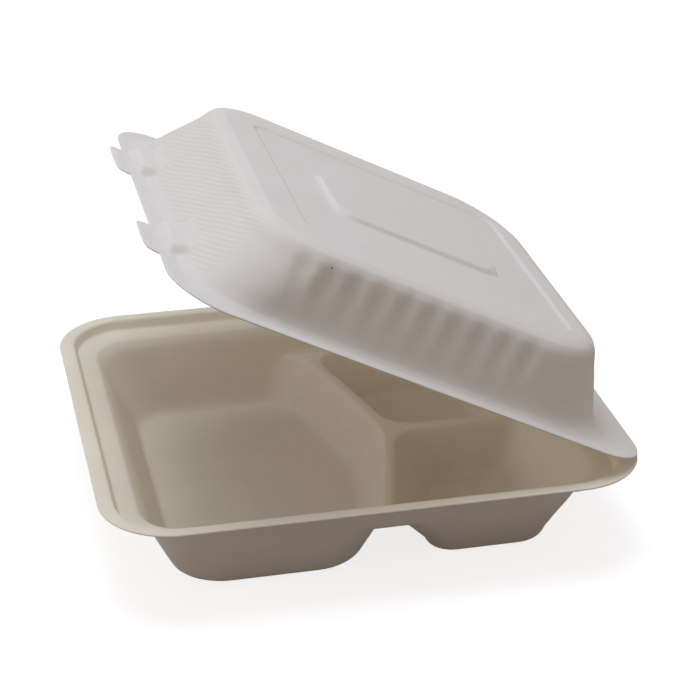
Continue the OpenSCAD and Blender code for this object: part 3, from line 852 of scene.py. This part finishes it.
class Nodes:
    """Short way to add and link shader nodes in one tree."""

    def __init__(self, tree: bpy.types.NodeTree) -> None:
        """Keeps the tree and empties it."""
        self.tree = tree
        tree.nodes.clear()

    def add(self, kind: str, values: Dict[object, object] = None, **settings: object
            ) -> bpy.types.Node:
        """Adds a node.

        Args:
            kind: Type of the node.
            values: Values or sockets to link, by the name or number of the input.
            settings: Properties of the node.

        Returns:
            The new node.
        """
        node = self.tree.nodes.new(kind)
        for key, value in settings.items():
            setattr(node, key, value)
        for key, value in (values or {}).items():
            if isinstance(value, bpy.types.NodeSocket):
                self.tree.links.new(value, node.inputs[key])
            else:
                node.inputs[key].default_value = value
        return node

    def math(self, operation: str, a: object, b: object = 0.0, c: object = 0.0
             ) -> bpy.types.NodeSocket:
        """Result of a Math node on a, b and c."""
        return self.add("ShaderNodeMath", {0: a, 1: b, 2: c}, operation=operation).outputs[0]

    def blend(self, share: object, a: object, b: object) -> bpy.types.NodeSocket:
        """Colour a share of the way from a to b."""
        node = self.add("ShaderNodeMix", {0: share, 6: a, 7: b}, data_type="RGBA")
        return node.outputs[2]


def new_group(name: str, inputs: Dict[str, Tuple[str, object]], outputs: Dict[str, str]
              ) -> Tuple[bpy.types.NodeTree, Nodes, bpy.types.Node, bpy.types.Node]:
    """Starts a shader node group.

    Args:
        name: Name of the group.
        inputs: Socket type and default by input name.
        outputs: Socket type by output name.

    Returns:
        The group, its builder, its input node and its output node.
    """
    tree = bpy.data.node_groups.new(name, "ShaderNodeTree")
    for label, (kind, default) in inputs.items():
        socket = tree.interface.new_socket(label, in_out="INPUT", socket_type=kind)
        if default is not None:
            socket.default_value = default
    for label, kind in outputs.items():
        tree.interface.new_socket(label, in_out="OUTPUT", socket_type=kind)
    nodes = Nodes(tree)
    return tree, nodes, nodes.add("NodeGroupInput"), nodes.add("NodeGroupOutput")


def pulp_group() -> bpy.types.NodeTree:
    """Cloudy density and fibres of pressed pulp, as a shade and a height.

    Returns:
        The group.
    """
    tree, n, into, out = new_group(
        "pressed_pulp",
        {"Vector": ("NodeSocketVector", None), "Cloud Scale": ("NodeSocketFloat", 45.0),
         "Grain Scale": ("NodeSocketFloat", 900.0)},
        {"Shade": "NodeSocketFloat", "Fleck": "NodeSocketFloat", "Height": "NodeSocketFloat"})
    where = into.outputs["Vector"]
    cloud = n.add("ShaderNodeTexNoise", {"Vector": where, "Scale": into.outputs["Cloud Scale"],
                                         "Detail": 5.0, "Roughness": 0.55})
    grain = n.add("ShaderNodeTexNoise", {"Vector": where, "Scale": into.outputs["Grain Scale"],
                                         "Detail": 4.0, "Roughness": 0.6})
    stretch = n.add("ShaderNodeMapping", {"Vector": where, "Scale": (1.0, 4.0, 1.0),
                                          "Rotation": (0.3, 0.2, 0.7)})
    fibre = n.add("ShaderNodeTexNoise", {"Vector": stretch.outputs[0], "Scale": 420.0,
                                         "Detail": 3.0, "Roughness": 0.7})
    shade = n.math("MULTIPLY_ADD", grain.outputs["Fac"], 0.3,
                   n.math("MULTIPLY", cloud.outputs["Fac"], 0.7))
    fleck = n.add("ShaderNodeMapRange", {"Value": fibre.outputs["Fac"], "From Min": 0.66,
                                         "From Max": 0.76})
    height = n.math("MULTIPLY_ADD", fibre.outputs["Fac"], 0.5,
                    n.math("MULTIPLY", grain.outputs["Fac"], 0.5))
    for label, socket in (("Shade", shade), ("Fleck", fleck.outputs[0]), ("Height", height)):
        tree.links.new(socket, out.inputs[label])
    return tree


def screen_group() -> bpy.types.NodeTree:
    """Fine marks that the wires of the forming screen leave in the sheet, as a height.

    Returns:
        The group.
    """
    tree, n, into, out = new_group(
        "screen_marks",
        {"Weave": ("NodeSocketVector", None), "Press": ("NodeSocketVector", None),
         "Pitch": ("NodeSocketFloat", 0.0013), "Front Pitch": ("NodeSocketFloat", 0.0019)},
        {"Height": "NodeSocketFloat", "Depth": "NodeSocketFloat"})
    bend = n.add("ShaderNodeTexNoise", {"Vector": into.outputs["Weave"], "Scale": 22.0,
                                        "Detail": 1.0})
    warp = n.math("MULTIPLY", n.math("SUBTRACT", bend.outputs["Fac"], 0.5), 0.004)
    place = n.add("ShaderNodeSeparateXYZ", {0: into.outputs["Weave"]})
    press = n.add("ShaderNodeSeparateXYZ", {0: into.outputs["Press"]})
    along, up = place.outputs[0], place.outputs[1]
    turn = n.math("DIVIDE", 2 * math.pi, into.outputs["Pitch"])
    upright = n.math("SINE", n.math("MULTIPLY", along, turn))
    cross = n.math("SINE", n.math("MULTIPLY", n.math("MULTIPLY_ADD", along, 0.15, up), turn))
    side = n.math("MULTIPLY_ADD", upright, 0.65, n.math("MULTIPLY", cross, 0.35))
    lean = n.math("ADD", n.math("MULTIPLY_ADD", along, -0.3, up), warp)
    wide = n.math("DIVIDE", 2 * math.pi, into.outputs["Front Pitch"])
    front = n.math("SINE", n.math("MULTIPLY", lean, wide))
    share = n.add("ShaderNodeMapRange", {"Value": press.outputs[1], "From Min": 0.45,
                                         "From Max": 0.9})
    both = n.add("ShaderNodeMix", {0: share.outputs[0], 2: side, 3: front})
    raw = n.math("MULTIPLY_ADD", both.outputs[0], 0.5, 0.5)
    tree.links.new(n.math("MULTIPLY", raw, press.outputs[0]), out.inputs["Height"])
    tree.links.new(press.outputs[0], out.inputs["Depth"])
    return tree


@dataclass(frozen=True)
class FibreFinish:
    """Pressed plant fibre on one face of the sheet.

    Attributes:
        name: Name of the material.
        light: Colour of the loose, light places.
        dark: Colour of the dense, dark places.
        fleck: Colour of the husk fibres.
        screen: Strength of the screen's marks, 0 for the face that the mould polished.
        rough: Roughness.
        grain: Strength of the fibre's relief.
        thin: Share of the light that goes through the sheet.
        through: Colour of that light.
        shade: How much the bottoms of the marks are darkened with painted shade.
        mark_shade_colour: Colour of the painted shade in the bottoms of the marks.
        speck: Place of a dark speck, or nothing.
        speck_core: Distance from that place up to which it is dark, in metres.
        speck_edge: Distance at which it ends.
    """

    name: str
    light: Colour
    dark: Colour
    fleck: Colour
    screen: float
    rough: float
    grain: float
    thin: float = 0.24
    through: Colour = (0.95, 0.87, 0.74)
    shade: float = 0.0
    mark_shade_colour: Colour = (0.5, 0.45, 0.42)
    speck: Tuple[float, ...] = ()
    speck_core: float = 0.0002
    speck_edge: float = 0.0007

    def material(self, pulp: bpy.types.NodeTree, screen: bpy.types.NodeTree
                 ) -> bpy.types.Material:
        """Makes the material.

        Args:
            pulp: Group with the pulp's shade and grain.
            screen: Group with the screen's marks.

        Returns:
            The new material.
        """
        mat = bpy.data.materials.new(self.name)
        mat.use_nodes = True
        n = Nodes(mat.node_tree)
        where = n.add("ShaderNodeTexCoord")
        body = n.add("ShaderNodeGroup", {}, node_tree=pulp)
        mat.node_tree.links.new(where.outputs["Object"], body.inputs["Vector"])
        tone = n.add("ShaderNodeMapRange", {"Value": body.outputs["Shade"], "From Min": 0.35,
                                            "From Max": 0.65})
        colour = n.blend(tone.outputs[0], (*self.dark, 1), (*self.light, 1))
        few = n.math("MULTIPLY", body.outputs["Fleck"], 0.3)
        colour = n.blend(few, colour, (*self.fleck, 1))
        relief = n.add("ShaderNodeBump", {"Strength": self.grain, "Distance": 0.0003,
                                          "Height": body.outputs["Height"]})
        normal = relief.outputs[0]
        if self.screen > 0:
            marks = n.add("ShaderNodeGroup", {}, node_tree=screen)
            for socket, label in (("Weave", "weave"), ("Press", "press")):
                uv = n.add("ShaderNodeUVMap", {}, uv_map=label)
                mat.node_tree.links.new(uv.outputs[0], marks.inputs[socket])
            # Painted shade: the bottoms of the screen's marks are darkened towards a grey-brown,
            # as if shade lay in them.
            shade = n.math("MULTIPLY", n.math("SUBTRACT", marks.outputs["Depth"],
                                              marks.outputs["Height"]), self.shade)
            colour = n.blend(shade, colour, (*self.mark_shade_colour, 1))
            press = n.add("ShaderNodeBump", {"Strength": self.screen, "Distance": 0.0002,
                                             "Height": marks.outputs["Height"],
                                             "Normal": normal})
            normal = press.outputs[0]
        if self.speck:
            gap = n.add("ShaderNodeVectorMath", {0: where.outputs["Object"], 1: self.speck},
                        operation="DISTANCE")
            dot = n.add("ShaderNodeMapRange", {"Value": gap.outputs["Value"],
                                               "From Min": self.speck_edge,
                                               "From Max": self.speck_core})
            colour = n.blend(dot.outputs[0], colour, (0.09, 0.06, 0.05, 1))
        surface = n.add("ShaderNodeBsdfPrincipled", {
            "Base Color": colour, "Roughness": self.rough, "Normal": normal,
            "Specular IOR Level": 0.25})
        leak = n.add("ShaderNodeBsdfTranslucent", {"Color": (*self.through, 1)})
        within = n.add("ShaderNodeNewGeometry").outputs["Backfacing"]
        both = n.add("ShaderNodeMixShader", {
            "Fac": n.math("MULTIPLY_ADD", within, 1 - self.thin, self.thin),
            1: surface.outputs[0], 2: leak.outputs[0]})
        out = n.add("ShaderNodeOutputMaterial")
        mat.node_tree.links.new(both.outputs[0], out.inputs[0])
        return mat


# Stage


@dataclass
class Stage:
    """Floor, world, lamps and camera.

    Attributes:
        azimuth: Turn of the camera's place from +X towards -Y, in radians.
        elevation: Angle of the camera's place above the floor, in radians.
        offset: The row frame's origin in the camera's frame, in millimetres.
        focal_px: Focal length in pixels of the picture.
        frame_px: Width of the picture in pixels.
        above: Colour of the sky overhead.
        sides: Colour of the sky near the horizon.
        floor_bounce: Colour of the floor for the light that it throws back.
        floor_glow: Light of the floor itself as the camera sees it.
    """

    azimuth: float = 0.2224618
    elevation: float = 0.4523754
    offset: Tuple[float, float, float] = (-7.82385, -63.7871, -1049.5929)
    focal_px: float = 2111.246
    frame_px: float = 700.0
    above: Colour = (0.34, 0.34, 0.36)
    sides: Colour = (0.41, 0.345, 0.295)
    floor_bounce: Colour = (0.32, 0.29, 0.27)
    floor_glow: float = 0.80

    def camera(self) -> None:
        """Adds the camera where the photograph was taken from."""
        data = bpy.data.cameras.new("view")
        data.sensor_fit = "HORIZONTAL"
        data.sensor_width = 36.0
        data.lens = self.focal_px / self.frame_px * 36.0
        data.clip_end = 50.0
        cam = bpy.data.objects.new("view", data)
        ca, sa = math.cos(self.azimuth), math.sin(self.azimuth)
        ce, se = math.cos(self.elevation), math.sin(self.elevation)
        back = Vector((ce * ca, -ce * sa, se))
        right = Vector((sa, ca, 0.0))
        up = back.cross(right)
        turn = Matrix((right, up, back)).transposed()
        offset = turn @ Vector(self.offset)
        cam.matrix_world = Matrix.Translation(-offset * MM) @ turn.to_4x4()
        bpy.context.scene.collection.objects.link(cam)
        bpy.context.scene.camera = cam

    def world(self) -> None:
        """Sets a soft sky, cool above and warm at the sides, that the camera sees white."""
        world = bpy.data.worlds.new("studio")
        bpy.context.scene.world = world
        world.use_nodes = True
        n = Nodes(world.node_tree)
        path = n.add("ShaderNodeLightPath")
        clear = n.math("SUBTRACT", n.math("MAXIMUM", path.outputs["Is Glossy Ray"],
                                          path.outputs["Is Transmission Ray"]),
                       path.outputs["Is Diffuse Ray"])
        seen = n.math("MAXIMUM", path.outputs["Is Camera Ray"], clear)
        where = n.add("ShaderNodeTexCoord")
        parts = n.add("ShaderNodeSeparateXYZ", {0: where.outputs["Generated"]})
        height = n.add("ShaderNodeMapRange", {"Value": parts.outputs[2], "From Min": 0.0,
                                              "From Max": 0.9})
        sky = n.blend(height.outputs[0], (*self.sides, 1), (*self.above, 1))
        lit = n.add("ShaderNodeBackground", {"Color": sky, "Strength": 1.0})
        white = n.add("ShaderNodeBackground", {"Color": (1, 1, 1, 1), "Strength": 1.0})
        mix = n.add("ShaderNodeMixShader", {"Fac": seen, 1: lit.outputs[0],
                                            2: white.outputs[0]})
        out = n.add("ShaderNodeOutputWorld")
        world.node_tree.links.new(mix.outputs[0], out.inputs[0])

    def floor(self) -> None:
        """Adds the pale floor, which keeps the object's shadow."""
        mesh = bpy.data.meshes.new("floor")
        s = 3.0
        mesh.from_pydata([(-s, -s, 0), (s, -s, 0), (s, s, 0), (-s, s, 0)], [], [(0, 1, 2, 3)])
        obj = bpy.data.objects.new("floor", mesh)
        bpy.context.scene.collection.objects.link(obj)
        mat = bpy.data.materials.new("floor")
        mat.use_nodes = True
        n = Nodes(mat.node_tree)
        path = n.add("ShaderNodeLightPath")
        plain = n.add("ShaderNodeBsdfDiffuse", {"Color": (*self.floor_bounce, 1)})
        lit = n.add("ShaderNodeBsdfDiffuse", {"Color": (0.35, 0.35, 0.35, 1)})
        glow = n.add("ShaderNodeEmission", {"Color": (1, 1, 1, 1), "Strength": self.floor_glow})
        both = n.add("ShaderNodeAddShader", {0: lit.outputs[0], 1: glow.outputs[0]})
        seen = n.math("MAXIMUM", path.outputs["Is Camera Ray"], path.outputs["Is Glossy Ray"])
        mix = n.add("ShaderNodeMixShader", {"Fac": seen, 1: plain.outputs[0],
                                            2: both.outputs[0]})
        out = n.add("ShaderNodeOutputMaterial")
        mat.node_tree.links.new(mix.outputs[0], out.inputs[0])
        mesh.materials.append(mat)

    def lamp(self, name: str, place: Tuple[float, float, float], size: float, power: float,
             colour: Colour) -> None:
        """Adds a square soft lamp that points at the object.

        Args:
            name: Name of the lamp.
            place: Where it hangs.
            size: Length of its sides.
            power: Its power in watts.
            colour: Its colour.
        """
        data = bpy.data.lights.new(name, "AREA")
        data.size, data.energy, data.color = size, power, colour
        obj = bpy.data.objects.new(name, data)
        obj.location = place
        aim = Vector((0, 0, 0.06)) - Vector(place)
        obj.rotation_euler = aim.to_track_quat("-Z", "Y").to_euler()
        bpy.context.scene.collection.objects.link(obj)

    def build(self) -> None:
        """Sets the whole stage."""
        self.camera()
        self.world()
        self.floor()
        self.lamp("overhead", (-0.12, -0.12, 1.6), 0.9, 15.0, (0.88, 0.94, 1.0))
        self.lamp("front", (0.15, -1.3, 0.55), 0.8, 2.8, (1.0, 0.95, 0.88))
        bpy.context.scene.view_settings.view_transform = "Standard"


# Main


# One cream pulp on every face; the faces' colours also carry painted light: the lid's outside is
# painted lighter and cooler as if lit from above, while the inside faces are painted darker and
# yellower and the tray's outside darker and browner as painted shade.
FINISHES = {
    "tray_inside": FibreFinish("tray_inside", (0.765, 0.715, 0.625), (0.735, 0.68, 0.58),
                               (0.62, 0.50, 0.34), 0.0, 0.72, 0.25, thin=0.08),
    "tray_outside": FibreFinish("tray_outside", (0.77, 0.71, 0.66), (0.73, 0.665, 0.61),
                                (0.60, 0.50, 0.40), 0.0, 0.85, 0.35, thin=0.08),
    "lid_outside": FibreFinish("lid_outside", (0.81, 0.805, 0.81), (0.785, 0.775, 0.77),
                               (0.66, 0.58, 0.50), 0.38, 0.85, 0.35, shade=0.22,
                               speck=(0.09308, -0.02086, 0.15596)),
    "lid_inside": FibreFinish("lid_inside", (0.765, 0.715, 0.625), (0.735, 0.68, 0.58),
                              (0.62, 0.50, 0.34), 0.0, 0.72, 0.25),
    # Painted shadow: a dark brown finish for the lower half of the lid's edge, standing in for the
    # shade under its lip.
    "lid_edge_shadow": FibreFinish("lid_edge_shadow", (0.46, 0.40, 0.35), (0.42, 0.36, 0.31),
                            (0.36, 0.29, 0.22), 0.0, 0.85, 0.35),
}


def dress(obj: bpy.types.Object, *mats: bpy.types.Material) -> None:
    """Gives a sheet its materials in the order of the skins."""
    for mat in mats:
        obj.data.materials.append(mat)


def main() -> None:
    """Builds the container and its stage."""
    logging.basicConfig(level=logging.INFO)
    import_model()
    pulp, screen = pulp_group(), screen_group()
    mats = {name: finish.material(pulp, screen) for name, finish in FINISHES.items()}

    tray = Tray().build()
    dress(tray, mats["tray_inside"], mats["tray_outside"], mats["tray_outside"])
    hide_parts("tray")
    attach(tray, "tray")
    log.info("tray: %d faces", len(tray.data.polygons))

    lid = Lid().build()
    # The lower half of the lid's edge takes the painted-shadow finish.
    dress(lid, mats["lid_outside"], mats["lid_inside"], mats["lid_edge_shadow"])
    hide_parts("lid")
    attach(lid, "lid")
    log.info("lid: %d faces", len(lid.data.polygons))

    fold = Fold()
    strip = fold.build()
    dress(strip, mats["tray_outside"])
    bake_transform(strip)

    Stage().build()


if __name__ == "__main__":
    main()
